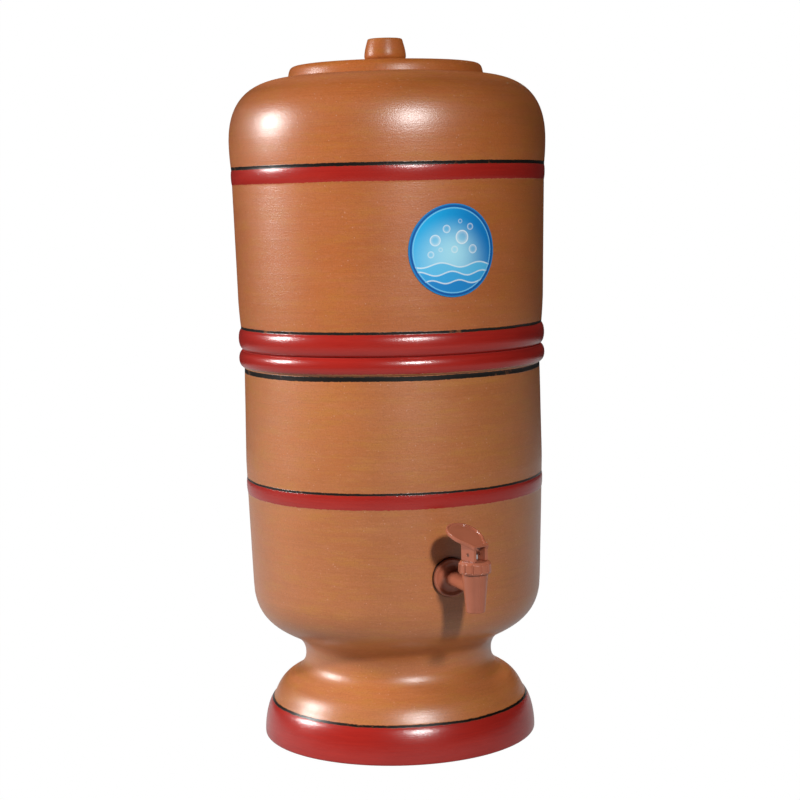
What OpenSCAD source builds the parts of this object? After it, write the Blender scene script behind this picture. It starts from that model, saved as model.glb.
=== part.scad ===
// Clay water filter pot: two stacked terracotta vessels, a lid, a ceramic filter candle
// with a float valve below it, and a lever tap near the bottom.
// Millimetres, +Z up. The origin is on the pot's axis at the bottom of the foot, and the
// tap points along -Y.

/* [Foot] */
// Radius of the foot where it stands
foot_r = 105.4; // [98:0.1:112]
// Height of the painted plinth
plinth_h = 28; // [24:0.5:32]
// How far the plinth draws in towards its top
plinth_draw = 7.2; // [5:0.1:9]
// Radius of the waist above the foot
waist_r = 72.3; // [66:0.1:78]
// Height of the waist
waist_z = 62; // [58:0.5:66]
// Wall of the foot round its hollow
foot_wall = 10.5; // [8:0.5:13]

/* [Lower vessel] */
// Outer radius where the bowl meets the side
bowl_r = 111.2; // [108:0.1:114]
// Height where the bowl meets the side
bowl_top = 120; // [114:1:124]
// Outer radius at the side's fullest place
side_r = 114.1; // [111:0.1:116]
// Outer radius just under the rim bead
throat_r = 113.2; // [110:0.1:115]
// Height of the lower vessel's rim
rim_z = 300; // [285:1:320]
// Height of the rim bead
rim_bead_h = 13.4; // [10:0.2:16]
// Inner radius of the lower vessel's mouth
mouth_r = 102.6; // [101:0.1:104]
// Height of the chamber's floor
floor_z = 89; // [88:0.5:92]
// Thickness of the chamber's floor
floor_t = 12.5; // [9:0.5:14]
// Reach of the curve between the chamber's floor and its wall
lower_curve_r = 40.6; // [34:0.2:46]
// Rise of that curve up the wall
lower_curve_h = 35; // [28:0.5:42]
// Height of the lower edge of the side's painted band
low_band_z = 190; // [180:1:200]

/* [Upper vessel] */
// Height of the upper vessel from its seat to its shoulder
upper_h = 202.8; // [190:0.2:225]
// Greatest outer radius
crown_r = 120; // [117:0.1:123]
// Outer radius above the lower ring
upper_low_r = 115; // [113:0.1:117]
// Outer radius below the painted band
upper_side_r = 118.5; // [116.5:0.1:119.5]
// Distance from the shoulder down to the greatest radius
crown_drop = 46; // [42:0.5:50]
// Height of the lower ring
ring_h = 16; // [13:0.2:18]
// Distance from the seat up to the start of the straight side
side_rise = 36; // [30:0.5:42]
// Distance from the seat up to the band near the crown
band_rise = 124; // [115:0.5:130]
// Height of a painted band
band_h = 11; // [8:0.2:13]
// How far a painted band stands proud
band_proud = 0.5; // [0.2:0.1:1]
// Wall thickness of the upper vessel
upper_side_t = 10; // [8:0.5:11]
// Depth of the part that drops into the lower vessel
spigot_h = 20; // [18:0.5:24]
// Reach of the curve between the upper vessel's floor and its wall
upper_curve_r = 25; // [20:0.5:29]
// Thickness of the upper vessel's floor
upper_floor_t = 12; // [9:0.5:13]
// Gap between the upper vessel and the lower vessel's mouth
spigot_gap = 2.5; // [1.5:0.1:4]

/* [Lid] */
// Radius of the opening under the lid
lid_mouth_r = 66; // [62:0.5:68]
// Radius of the lid at its bottom edge
lid_r = 74; // [71:0.1:77]
// Height of the lid's side
lid_side_h = 9; // [7:0.1:11]
// How much the lid's top rises towards the knob
lid_crown = 2; // [1:0.1:4]
// Depth of the ring that drops into the opening
lid_ring_h = 8.8; // [7:0.1:11]
// Gap round the ring
lid_gap = 1.5; // [0.8:0.1:2.5]
// Height of the knob above the lid's top
knob_h = 17.7; // [14:0.1:21]
// Greatest radius of the knob
knob_r = 15.9; // [14:0.1:18]
// Radius of the knob's top
knob_top_r = 13.4; // [12:0.1:15]
// Radius of the knob's neck
knob_neck_r = 14.2; // [12:0.1:15]

/* [Sticker] */
// Radius of the round sticker
sticker_r = 33; // [20:0.5:38]
// Height of its centre above the upper vessel's seat
sticker_rise = 74.4; // [66:0.2:78]
// Angle round the pot from the tap to the sticker
sticker_turn = 2.3; // [-20:0.1:20]
// Thickness of the sticker
sticker_t = 0.3; // [0.2:0.05:0.5]
// Thickness of the glue under the sticker
sticker_glue = 0.05; // [0.02:0.01:0.1]

/* [Filter candle] */
// Radius of the ceramic candle
candle_r = 26; // [22:0.5:30]
// Height of the ceramic candle
candle_h = 100; // [80:1:130]
// Wall of the candle
candle_wall = 7; // [5:0.5:9]
// Height of the carbon filling
carbon_h = 70; // [40:1:76]
// Wall of the base cup
cup_wall = 2.4; // [1.6:0.2:3]
// Height of the base cup
cup_h = 15.5; // [10:0.5:20]
// Radius of the threaded stem
candle_stem_r = 5; // [4:0.1:6]
// Radius of the stem's outlet bore
outlet_r = 2; // [1.2:0.1:2.6]
// Thickness of the rubber rings above and below the floor
candle_rubber_t = 2.5; // [1.5:0.1:4]
// Radius of the rubber rings
candle_rubber_r = 15; // [12:0.5:18]
// Height of the wing nut
wing_nut_h = 7; // [5:0.5:9]

/* [Float valve] */
// Outer radius of the cage
cage_r = 24; // [20:0.5:28]
// Wall of the cage
cage_wall = 1.8; // [1.2:0.1:2.5]
// Height of the cage below its top plate
cage_h = 42; // [34:1:50]
// Height of the float
float_h = 30; // [22:1:30]
// Gap round the float
float_gap = 0.5; // [0.3:0.1:1]
// Travel of the float from its lugs to the nozzle
float_travel = 5; // [3:0.5:6]

/* [Tap body] */
// Height of the tap's centre line
tap_z = 139.5; // [136:0.5:150]
// Distance from the pot's axis to the flat under the tap's washer
tap_flat_r = 110.7; // [110:0.1:111]
// Distance from that flat to the tap's upright axis
tap_reach = 46; // [42:0.5:52]
// Radius of the flange
flange_r = 14.3; // [13:0.1:16]
// Thickness of the flange
flange_t = 3; // [2.4:0.1:4]
// Radius of the tube between the flange and the spout
hub_r = 5.3; // [5:0.1:6]
// Thickness of the rubber washers
tap_rubber_t = 2; // [1.5:0.1:3]
// Radius of the threaded shank
shank_r = 8; // [7:0.1:9]
// Radius of the waterway
waterway_r = 3; // [2.4:0.1:3.1]
// Radius of the spout's tip
spout_tip_r = 6.65; // [6.3:0.05:7.4]
// Radius of the spout under the collar
spout_top_r = 9.35; // [9:0.05:9.6]
// Depth of the spout below the centre line
spout_drop = 16.4; // [14:0.2:20]
// Height of the spout's shoulder above the centre line
spout_rise = 11.5; // [10:0.2:13]
// Height of the lock nut
lock_nut_h = 7; // [5:0.5:9]
// Width of the lock nut across its flats
lock_nut_af = 23; // [21:0.5:24]

/* [Tap collar and valve] */
// Outer radius of the collar's ribs
collar_r = 11.6; // [11.4:0.1:12.6]
// Height of the collar
collar_h = 8.5; // [8:0.1:10]
// Number of ribs on the collar
collar_ribs = 12; // [8:1:16]
// Radius of the valve chamber
chamber_r = 6.2; // [6:0.05:6.3]
// Radius of the metal stem
stem_r = 3; // [2.4:0.1:3.2]
// Radius of the spring's wire
spring_wire_r = 0.45; // [0.3:0.05:0.6]
// Turns of the spring
spring_turns = 5; // [3:1:6]

/* [Tap lever] */
// How far the lever is swivelled round the tap at rest
lever_turn = 20; // [-90:1:90]
// Width of the lever's fork
fork_w = 13; // [12:0.1:15]
// Width of the slot in the fork
fork_slot_w = 8; // [6.6:0.1:8.6]
// Height of the hinge pin above the collar
pin_rise = 4.6; // [4:0.1:5]
// Radius of the hinge pin
pin_r = 1.2; // [0.9:0.05:1.4]
// Rise of the valve for each radian of the lever
cam_rate = 4; // [3:0.1:4.4]
// Greatest angle of the lever
lever_max = 30; // [20:1:35]
// Height of the fork's front above the collar
fork_h = 11.8; // [11:0.1:13]
// Length of the paddle
paddle_l = 32.3; // [28:0.1:37]
// Greatest half width of the paddle
paddle_half_w = 12.7; // [10:0.1:14]
// Slope of the paddle
paddle_slope = 23.4; // [16:0.2:28]
// Thickness of the paddle
paddle_t = 2.8; // [2.2:0.1:3.4]
// Width of the paddle's raised rim
paddle_rim = 1.4; // [1:0.1:2]
// Depth of the dish in the paddle
paddle_dish = 1.1; // [0.5:0.1:1.4]

/* [Fits] */
// Radial clearance of a screwed or turning fit
run_gap = 0.05; // [0.02:0.01:0.08]
// Radial clearance of a loose hole
loose_gap = 0.5; // [0.3:0.1:1]
// Gap under the lever's feet
foot_gap = 0.1; // [0.05:0.01:0.15]

/* [Hidden] */
$fn = 96;
curve_steps = 10;
tiny = 0.01;
cut = 1;

clay = [0.70, 0.42, 0.22];
brown_plastic = [0.60, 0.36, 0.28];
white_plastic = [0.92, 0.92, 0.90];
rubber = [0.16, 0.15, 0.15];
metal = [0.78, 0.78, 0.80];

// ---- heights that follow from the sizes above

shoulder_z = rim_z + upper_h;
band_z = rim_z + band_rise;
upper_floor_z = rim_z - spigot_h + upper_floor_t;
upper_under_z = rim_z - spigot_h;
lid_top_z = shoulder_z + lid_side_h + lid_crown;
cup_z = upper_floor_z + candle_rubber_t;
cup_floor_t = 3;
candle_z = cup_z + cup_floor_t;
wing_nut_top = upper_under_z - candle_rubber_t;
boss_top = wing_nut_top - wing_nut_h - 0.5;
boss_depth = 11.5;
boss_r = 8;
plate_t = 3;
nozzle_drop = 2;
cage_plate_z = boss_top - boss_depth - plate_t;
nozzle_z = cage_plate_z - nozzle_drop;
cage_low_z = cage_plate_z - cage_h;
lug_t = 2;
float_z = cage_low_z + lug_t;
float_r = cage_r - cage_wall - float_gap;
seal_top_z = nozzle_z - float_travel - run_gap;

// ---- the tap's own sizes

shank_end = 22;
collar_top = spout_rise + collar_h;
collar_plate_t = 2.5;
neck_top = collar_top - collar_plate_t;
neck_r = spout_top_r - 0.15;
valve_seat_z = -4;
valve_seat_r = 3.2;
plug_r = 5;
lip_z = 4;
lip_h = 4;
stem_foot_r = 4.2;
stem_foot_z = -1;
stem_foot_t = 2.2;
spring_r = 4.4;
pin_z = collar_top + pin_rise;
fork_half_d = 6.5;
slot_roof = fork_h - pin_rise - 1.6;
fork_buried = paddle_dish + 0.6;
paddle_lip = 1.3;
paddle_shelf = 0.25;
foot_drop = pin_rise - foot_gap;
tap_flat_inner_r = mouth_r - 0.9;
inner_face = tap_flat_inner_r - tap_flat_r;
tap_cut = 20;

// ---- outline helpers

function bezier(a, b, c, d, steps = curve_steps) =
    [for (i = [1 : steps]) let (t = i / steps, s = 1 - t)
        s * s * s * a + 3 * s * s * t * b + 3 * s * t * t * c + t * t * t * d];

// A shallow bead between two heights on a side, whose radius runs from r0 to r1.
function bead(r0, z0, r1, z1, proud) =
    concat([[r0, z0]], bezier([r0, z0], [r0 + proud * 1.4, z0 + (z1 - z0) * 0.12],
                              [r1 + proud * 1.4, z1 - (z1 - z0) * 0.12], [r1, z1], 6));

module turned(points) {
    rotate_extrude() polygon(points);
}

module ring(outer_r, inner_r, low, high) {
    difference() {
        translate([0, 0, low]) cylinder(r = outer_r, h = high - low);
        translate([0, 0, low - cut]) cylinder(r = inner_r, h = high - low + 2 * cut);
    }
}

// Places a piece drawn along +Z on the flat of the pot under the tap, pointing outwards.
module along_tap() {
    translate([0, -tap_flat_r, tap_z]) rotate([90, 0, 0]) children();
}

// Places a piece on the tap's upright axis at the height of its centre line.
module on_tap_axis() {
    translate([0, -tap_flat_r - tap_reach, tap_z]) children();
}

// Places a piece on the lever's hinge pin, with the lever swivelled as it rests.
module on_lever_pin() {
    on_tap_axis() rotate([0, 0, lever_turn]) translate([0, 0, pin_z]) children();
}

// A clay vessel is one fired piece. It is kept as zones that meet face to face.
module zone(low, high) {
    color(clay) intersection() {
        children();
        translate([0, 0, low]) cylinder(r = zone_r, h = high - low);
    }
}

// ---- lower vessel

foot_joint_z = floor_z - floor_t * 0.72;
bowl_joint_z = tap_z - flange_r - 3.2;
zone_r = crown_r + 20;

plinth_top_r = foot_r - plinth_draw;
side_low_z = low_band_z;
side_band_r = bowl_r + (side_r - bowl_r) * 0.8;
full_z = low_band_z + band_h + 14;
throat_z = rim_z - rim_bead_h;
foot_top = [waist_r + 12.6, waist_z - 16.8];

function lower_outside() = concat(
    [[0, 0], [foot_r - 1.5, 0]],
    bezier([foot_r - 1.5, 0], [foot_r - 0.3, 0], [foot_r, 0.6], [foot_r, 2], 4),
    bezier([foot_r, 2], [foot_r, plinth_h * 0.42],
           [foot_r - 2.9, plinth_h * 0.88], [plinth_top_r, plinth_h + 0.4]),
    bezier([plinth_top_r, plinth_h + 0.4], [plinth_top_r - 2.6, plinth_h + 4.5],
           [plinth_top_r - 4.2, foot_top[1] - 5], foot_top),
    bezier(foot_top, [waist_r + 5.7, waist_z - 12.9], [waist_r, waist_z - 9], [waist_r, waist_z]),
    bezier([waist_r, waist_z], [waist_r, waist_z + 9], [waist_r + 4.7, waist_z + 14.5],
           [waist_r + 12.7, waist_z + 18.8]),
    bezier([waist_r + 12.7, waist_z + 18.8], [waist_r + 22.7, waist_z + 24.2],
           [bowl_r - 0.2, bowl_top - 27], [bowl_r, bowl_top]),
    bead(side_band_r, side_low_z, side_band_r + 0.3, side_low_z + band_h, band_proud),
    [[side_r, full_z], [throat_r, throat_z]],
    bezier([throat_r, throat_z], [throat_r + 5.2, throat_z + 0.8],
           [throat_r + 5.2, rim_z - 1], [throat_r + 0.2, rim_z]),
    [[0, rim_z]]);

function lower_inside() = concat(
    [[0, floor_z], [mouth_r - lower_curve_r, floor_z]],
    bezier([mouth_r - lower_curve_r, floor_z], [mouth_r - lower_curve_r * 0.46, floor_z + 1],
           [mouth_r - 1.6, floor_z + lower_curve_h * 0.29], [mouth_r - 1.2, floor_z + lower_curve_h]),
    [[mouth_r, rim_z - 8], [mouth_r, rim_z - 2], [mouth_r + 2, rim_z + tiny],
     [mouth_r + 2, rim_z + cut], [0, rim_z + cut]]);

hollow_low_r = foot_r - foot_wall;
hollow_top_r = waist_r - foot_wall;
hollow_top_z = floor_z - floor_t;

function foot_hollow() = concat(
    [[0, -cut], [hollow_low_r, -cut], [hollow_low_r, 0]],
    bezier([hollow_low_r, 0], [hollow_low_r - 2.4, 22], [hollow_top_r + 6, waist_z - 18],
           [hollow_top_r, waist_z - 2]),
    bezier([hollow_top_r, waist_z - 2], [hollow_top_r, hollow_top_z - 4],
           [hollow_top_r - 3, hollow_top_z], [hollow_top_r - 12, hollow_top_z], 6),
    [[0, hollow_top_z]]);

module lower_vessel() {
    difference() {
        turned(lower_outside());
        turned(lower_inside());
        turned(foot_hollow());
        // the flat outside the wall, the hole, and the flat inside the wall
        along_tap() cylinder(r = flange_r + 0.6, h = tap_cut);
        along_tap() translate([0, 0, inner_face - tap_cut])
            cylinder(r = shank_r + loose_gap, h = 2 * tap_cut - inner_face);
        along_tap() translate([0, 0, inner_face - tap_cut]) cylinder(r = flange_r + 0.4, h = tap_cut);
    }
}

module lower_foot() {
    zone(-cut, foot_joint_z) lower_vessel();
}

module lower_bowl() {
    zone(foot_joint_z, bowl_joint_z) lower_vessel();
}

module lower_wall() {
    zone(bowl_joint_z, rim_z + cut) lower_vessel();
}

// ---- upper vessel

side_low_up = rim_z + side_rise;
side_low_up_r = upper_low_r + 1.5;
spigot_r = mouth_r - spigot_gap;
crown_z = shoulder_z - crown_drop;
seat_in = lid_r + 5;

function upper_outside() = concat(
    [[0, upper_under_z], [spigot_r - 8, upper_under_z]],
    bezier([spigot_r - 8, upper_under_z], [spigot_r - 3, upper_under_z],
           [spigot_r, upper_under_z + 3], [spigot_r, upper_under_z + 8], 6),
    [[spigot_r, rim_z], [upper_low_r - 1.8, rim_z]],
    bezier([upper_low_r - 1.8, rim_z], [upper_low_r + 2.8, rim_z + 0.6],
           [upper_low_r + 3.2, rim_z + ring_h - 3], [upper_low_r, rim_z + ring_h]),
    bezier([upper_low_r, rim_z + ring_h], [upper_low_r + 0.6, rim_z + ring_h + 5],
           [side_low_up_r - 0.3, side_low_up - 6], [side_low_up_r, side_low_up], 5),
    bead(upper_side_r, band_z, upper_side_r + 0.3, band_z + band_h, band_proud),
    bezier([upper_side_r + 0.3, band_z + band_h], [crown_r - 0.6, band_z + band_h + 6],
           [crown_r, crown_z - 10], [crown_r, crown_z], 6),
    bezier([crown_r, crown_z], [crown_r - 0.4, crown_z + 21], [crown_r - 8, shoulder_z - 3.8],
           [seat_in, shoulder_z], 14),
    [[0, shoulder_z]]);

upper_in_low = [upper_low_r - upper_side_t, rim_z + side_rise - 10];
upper_in_side = [upper_side_r - upper_side_t, band_z];
upper_in_high = [crown_r - upper_side_t, crown_z - 2];
upper_curve_in = upper_in_low[0] - upper_curve_r;

function upper_inside() = concat(
    [[0, upper_floor_z], [upper_curve_in, upper_floor_z]],
    bezier([upper_curve_in, upper_floor_z], [upper_curve_in + 8, upper_floor_z],
           [upper_curve_in + 15, upper_floor_z + 11], upper_in_low),
    [upper_in_side, upper_in_high],
    bezier(upper_in_high, [crown_r - upper_side_t - 0.4, crown_z + 17],
           [crown_r - upper_side_t - 7, shoulder_z - 12.8],
           [lid_mouth_r + 6, shoulder_z - 9.8], 12),
    bezier([lid_mouth_r + 6, shoulder_z - 9.8], [lid_mouth_r + 2, shoulder_z - 9.6],
           [lid_mouth_r, shoulder_z - 8.5], [lid_mouth_r, shoulder_z - 6], 4),
    [[lid_mouth_r, shoulder_z - 1.5], [lid_mouth_r + 1.5, shoulder_z],
     [lid_mouth_r + 1.5, shoulder_z + cut], [0, shoulder_z + cut]]);

module upper_vessel() {
    difference() {
        turned(upper_outside());
        turned(upper_inside());
        translate([0, 0, upper_under_z - cut])
            cylinder(r = candle_stem_r + loose_gap, h = upper_floor_t + 2 * cut);
    }
}

seat_joint_z = rim_z + 2.5;
crown_joint_z = band_z - band_h / 4;

module upper_floor() {
    zone(upper_under_z - cut, seat_joint_z) upper_vessel();
}

module upper_wall() {
    zone(seat_joint_z, crown_joint_z) upper_vessel();
}

module upper_shoulder() {
    zone(crown_joint_z, shoulder_z + cut) upper_vessel();
}

// ---- lid

lid_ring_r = lid_mouth_r - lid_gap;
lid_ring_wall = 7;
lid_t = 7;
knob_z = lid_top_z;
lid_edge_z = shoulder_z + lid_side_h;

module lid() {
    color(clay) turned(concat(
        [[0, lid_edge_z - lid_t + lid_crown], [lid_ring_r - lid_ring_wall - 3, lid_edge_z - lid_t]],
        [[lid_ring_r - lid_ring_wall, lid_edge_z - lid_t - 2],
         [lid_ring_r - lid_ring_wall + 1, shoulder_z - lid_ring_h + 1],
         [lid_ring_r - lid_ring_wall + 2, shoulder_z - lid_ring_h],
         [lid_ring_r - 2, shoulder_z - lid_ring_h], [lid_ring_r, shoulder_z - lid_ring_h + 2],
         [lid_ring_r, shoulder_z], [lid_r - 0.6, shoulder_z]],
        bezier([lid_r - 0.6, shoulder_z], [lid_r, shoulder_z], [lid_r, shoulder_z + 0.3],
               [lid_r - 0.1, shoulder_z + 1], 3),
        bezier([lid_r - 0.1, shoulder_z + 1], [lid_r - 1, lid_edge_z - 2.4],
               [lid_r - 1.6, lid_edge_z - 0.4], [lid_r - 6, lid_edge_z], 8),
        bezier([lid_r - 6, lid_edge_z], [lid_r - 24, lid_edge_z + lid_crown * 0.8],
               [knob_r + 20, knob_z], [knob_neck_r + 1.6, knob_z], 8),
        bezier([knob_neck_r + 1.6, knob_z], [knob_neck_r + 0.4, knob_z],
               [knob_neck_r, knob_z + 0.4], [knob_neck_r, knob_z + 1.2], 3),
        bezier([knob_neck_r, knob_z + 1.2], [knob_neck_r + 0.4, knob_z + 2.4],
               [knob_r, knob_z + 2.6], [knob_r, knob_z + 4.4], 4),
        bezier([knob_r, knob_z + 4.4], [knob_r, knob_z + knob_h * 0.5],
               [knob_top_r + 0.5, knob_z + knob_h - 3],
               [knob_top_r, knob_z + knob_h - 1.2], 6),
        bezier([knob_top_r, knob_z + knob_h - 1.2], [knob_top_r - 0.2, knob_z + knob_h - 0.2],
               [knob_top_r - 0.8, knob_z + knob_h], [knob_top_r - 2, knob_z + knob_h], 4),
        [[0, knob_z + knob_h - 0.6]]));
}

// ---- sticker

// The straight stretch of the upper vessel's side, grown by a thickness.
module side_cone(grow) {
    translate([0, 0, side_low_up])
        cylinder(r1 = side_low_up_r + grow, r2 = upper_side_r + grow, h = band_z - side_low_up);
}

module sticker() {
    color("deepskyblue") intersection() {
        difference() {
            side_cone(sticker_glue + sticker_t);
            side_cone(sticker_glue);
        }
        rotate([0, 0, sticker_turn]) translate([0, 0, rim_z + sticker_rise])
            rotate([90, 0, 0]) cylinder(r = sticker_r, h = crown_r + 10);
    }
}

// ---- filter candle

module candle_dome() {
    straight = candle_h - candle_r;
    hollow_r = candle_r - candle_wall;
    color("ivory") translate([0, 0, candle_z]) difference() {
        union() {
            cylinder(r = candle_r, h = straight);
            translate([0, 0, straight]) sphere(r = candle_r);
        }
        translate([0, 0, -candle_r - cut]) cylinder(r = candle_r + cut, h = candle_r + cut);
        translate([0, 0, -cut]) cylinder(r = hollow_r, h = straight + cut);
        translate([0, 0, straight]) sphere(r = hollow_r);
    }
}

module candle_carbon() {
    color([0.12, 0.12, 0.12]) translate([0, 0, candle_z])
        cylinder(r = candle_r - candle_wall - run_gap, h = carbon_h);
}

module candle_base() {
    outer_r = candle_r + run_gap + cup_wall;
    stem_low = boss_top - boss_depth + 0.3;
    grips = 16;
    color(white_plastic) difference() {
        union() {
            translate([0, 0, cup_z]) cylinder(r = outer_r, h = cup_h);
            translate([0, 0, cup_z]) cylinder(r = outer_r + 1.6, h = cup_floor_t);
            for (i = [0 : grips - 1])
                rotate([0, 0, i * 360 / grips]) translate([outer_r - 0.5, -1, cup_z])
                    cube([1.5, 2, cup_h - 3]);
            translate([0, 0, stem_low]) cylinder(r = candle_stem_r, h = cup_z - stem_low + cut);
        }
        translate([0, 0, candle_z]) cylinder(r = candle_r + run_gap, h = cup_h);
        translate([0, 0, stem_low - cut]) cylinder(r = outlet_r, h = candle_z - stem_low + 2 * cut);
    }
}

module candle_gasket() {
    color(rubber) ring(candle_rubber_r, candle_stem_r + run_gap, upper_floor_z, cup_z);
}

module candle_washer() {
    color(rubber) ring(candle_rubber_r, candle_stem_r + run_gap, wing_nut_top, upper_under_z);
}

module candle_wing_nut() {
    hub_r = candle_stem_r + 4;
    wing_reach = 17;
    color(white_plastic) translate([0, 0, wing_nut_top - wing_nut_h]) difference() {
        union() {
            cylinder(r = hub_r, h = wing_nut_h);
            translate([0, 0, wing_nut_h - 1.5]) cylinder(r = hub_r + 3, h = 1.5);
            for (side = [0, 180])
                rotate([90, 0, side]) translate([0, 0, -1.25]) linear_extrude(2.5)
                    polygon([[hub_r - 2, 0], [wing_reach - 3, 0], [wing_reach, 2.5],
                             [wing_reach, wing_nut_h - 2.5], [wing_reach - 2.5, wing_nut_h],
                             [hub_r - 2, wing_nut_h]]);
        }
        translate([0, 0, -cut]) cylinder(r = candle_stem_r + run_gap, h = wing_nut_h + 2 * cut);
    }
}

// ---- float valve

module float_cage() {
    windows = 4;
    window_w = 20;
    inner_r = cage_r - cage_wall;
    lug_in = 5;
    color(white_plastic) difference() {
        union() {
            translate([0, 0, cage_plate_z]) cylinder(r = boss_r, h = boss_top - cage_plate_z);
            translate([0, 0, cage_plate_z]) cylinder(r = cage_r, h = plate_t);
            translate([0, 0, nozzle_z]) cylinder(r1 = 3.2, r2 = 4.2, h = nozzle_drop + cut);
            ring(cage_r, inner_r, cage_low_z, cage_plate_z + cut);
            ring(inner_r + cage_wall / 2, inner_r - lug_in, cage_low_z, cage_low_z + lug_t);
        }
        translate([0, 0, boss_top - boss_depth])
            cylinder(r = candle_stem_r + run_gap, h = boss_depth + cut);
        translate([0, 0, nozzle_z - cut]) cylinder(r = outlet_r, h = boss_top - nozzle_z);
        // upright windows, which also part the lower lip into lugs
        for (i = [0 : windows - 1])
            rotate([0, 0, 45 + i * 360 / windows])
                translate([inner_r - lug_in - cut, -window_w / 2, cage_low_z - cut])
                    cube([lug_in + cage_wall + 2 * cut, window_w, cage_h - 5]);
    }
}

seal_t = 4;
float_top_z = min(float_z + float_h, seal_top_z - 1);

module float_shell() {
    color("whitesmoke") difference() {
        turned(concat([[0, float_z + 3], [float_r - 9, float_z + 3], [float_r - 7, float_z],
                       [float_r - 1.5, float_z], [float_r, float_z + 1.5],
                       [float_r, float_top_z - 2], [float_r - 2, float_top_z],
                       [0, float_top_z]]));
        translate([0, 0, seal_top_z - seal_t]) cylinder(r = 4, h = seal_t + cut);
    }
}

module float_seal() {
    color(rubber) translate([0, 0, seal_top_z - seal_t]) cylinder(r = 4 - run_gap, h = seal_t);
}

// ---- tap

module tap_body() {
    hub_end = tap_reach - spout_top_r + 3;
    back = tap_rubber_t;
    front = tap_rubber_t + flange_t;
    color(brown_plastic) difference() {
        union() {
            along_tap() turned(concat(
                [[0, -shank_end], [shank_r - 1, -shank_end], [shank_r, 1 - shank_end],
                 [shank_r, back], [flange_r - 0.6, back]],
                bezier([flange_r - 0.6, back], [flange_r + 0.1, back],
                       [flange_r + 0.1, front - 0.3], [flange_r - 1.2, front], 6),
                bezier([flange_r - 1.2, front], [flange_r - 2.2, front],
                       [flange_r - 3, front - 0.9], [flange_r - 4.2, front - 0.9], 5),
                bezier([flange_r - 4.2, front - 0.9], [flange_r - 6.4, front - 0.9],
                       [hub_r + 0.4, front - 0.6], [hub_r + 0.1, front + 1.4], 5),
                [[hub_r - 0.2, hub_end], [0, hub_end]]));
            on_tap_axis() {
                translate([0, 0, -spout_drop])
                    cylinder(r1 = spout_tip_r, r2 = spout_top_r, h = spout_drop + spout_rise);
                translate([0, 0, spout_rise - cut])
                    cylinder(r = neck_r, h = neck_top - 0.2 - spout_rise + cut);
                translate([-0.5, -spout_top_r + 0.2, 0]) spout_ridge();
            }
        }
        on_tap_axis() {
            translate([0, 0, valve_seat_z])
                cylinder(r = chamber_r, h = neck_top - valve_seat_z);
            translate([0, 0, -spout_drop - cut]) cylinder(r = valve_seat_r, h = spout_drop);
            translate([0, 0, -spout_drop - cut])
                cylinder(r = spout_tip_r - 1.85, h = spout_drop + valve_seat_z - 1.4 + cut);
            translate([0, 0, spout_rise]) ring(neck_r + 5, neck_r, 0, neck_top);
        }
        along_tap() translate([0, 0, -shank_end - cut])
            cylinder(r = waterway_r, h = shank_end + tap_reach);
    }
}

// The raised mould line down the front of the spout.
module spout_ridge() {
    lean = atan((spout_top_r - spout_tip_r) / (spout_drop + spout_rise));
    length = spout_drop + spout_rise - 3;
    translate([0, 0, spout_rise - 1]) rotate([lean, 0, 0]) translate([0, -0.5, -length])
        cube([1, 1.5, length]);
}

module tap_outer_washer() {
    color(rubber) along_tap() ring(flange_r - 0.3, shank_r + run_gap, 0, tap_rubber_t);
}

module tap_inner_washer() {
    color(rubber) along_tap()
        ring(flange_r - 0.5, shank_r + run_gap, inner_face - tap_rubber_t, inner_face);
}

module tap_lock_nut() {
    nut_face = inner_face - tap_rubber_t;
    color(brown_plastic) along_tap() difference() {
        union() {
            translate([0, 0, nut_face - lock_nut_h])
                cylinder(r = lock_nut_af / sqrt(3), h = lock_nut_h - 1, $fn = 6);
            translate([0, 0, nut_face - 1.5]) cylinder(r = flange_r - 0.6, h = 1.5);
        }
        translate([0, 0, nut_face - lock_nut_h - cut])
            cylinder(r = shank_r + run_gap, h = lock_nut_h + 2 * cut);
    }
}

module tap_collar() {
    rib_w = 2 * PI * collar_r / collar_ribs * 0.74;
    rib_proud = 0.9;
    low = spout_rise + 1;
    color(brown_plastic) on_tap_axis() difference() {
        union() {
            translate([0, 0, spout_rise]) cylinder(r = collar_r - 0.5, h = 1);
            translate([0, 0, low]) cylinder(r = collar_r - rib_proud, h = collar_top - low - 0.6);
            translate([0, 0, collar_top - 0.6])
                cylinder(r1 = collar_r - rib_proud, r2 = collar_r - rib_proud - 0.6, h = 0.6);
            intersection() {
                for (i = [0 : collar_ribs - 1])
                    rotate([0, 0, (i + 0.5) * 360 / collar_ribs])
                        translate([0, -rib_w / 2, low]) cube([collar_r + 1, rib_w, collar_h]);
                turned([[0, low], [collar_r, low], [collar_r - 0.2, collar_top - 1.6],
                        [collar_r - 1.2, collar_top - 0.5], [0, collar_top - 0.5]]);
            }
        }
        translate([0, 0, spout_rise - cut])
            cylinder(r = neck_r + run_gap, h = neck_top - spout_rise + cut);
        cylinder(r = stem_r + run_gap, h = collar_top + cut);
    }
}

module tap_seat_cup() {
    color([0.93, 0.93, 0.90]) on_tap_axis() difference() {
        turned([[0, valve_seat_z], [plug_r - 0.6, valve_seat_z], [plug_r, valve_seat_z + 0.6],
                [plug_r, lip_z - 1], [chamber_r - run_gap, lip_z],
                [chamber_r - run_gap, lip_z + lip_h], [0, lip_z + lip_h]]);
        translate([0, 0, stem_foot_z])
            cylinder(r = stem_foot_r + run_gap, h = stem_foot_t + run_gap);
        translate([0, 0, stem_foot_z]) cylinder(r = stem_r + run_gap, h = lip_z + lip_h + cut);
    }
}

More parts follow.
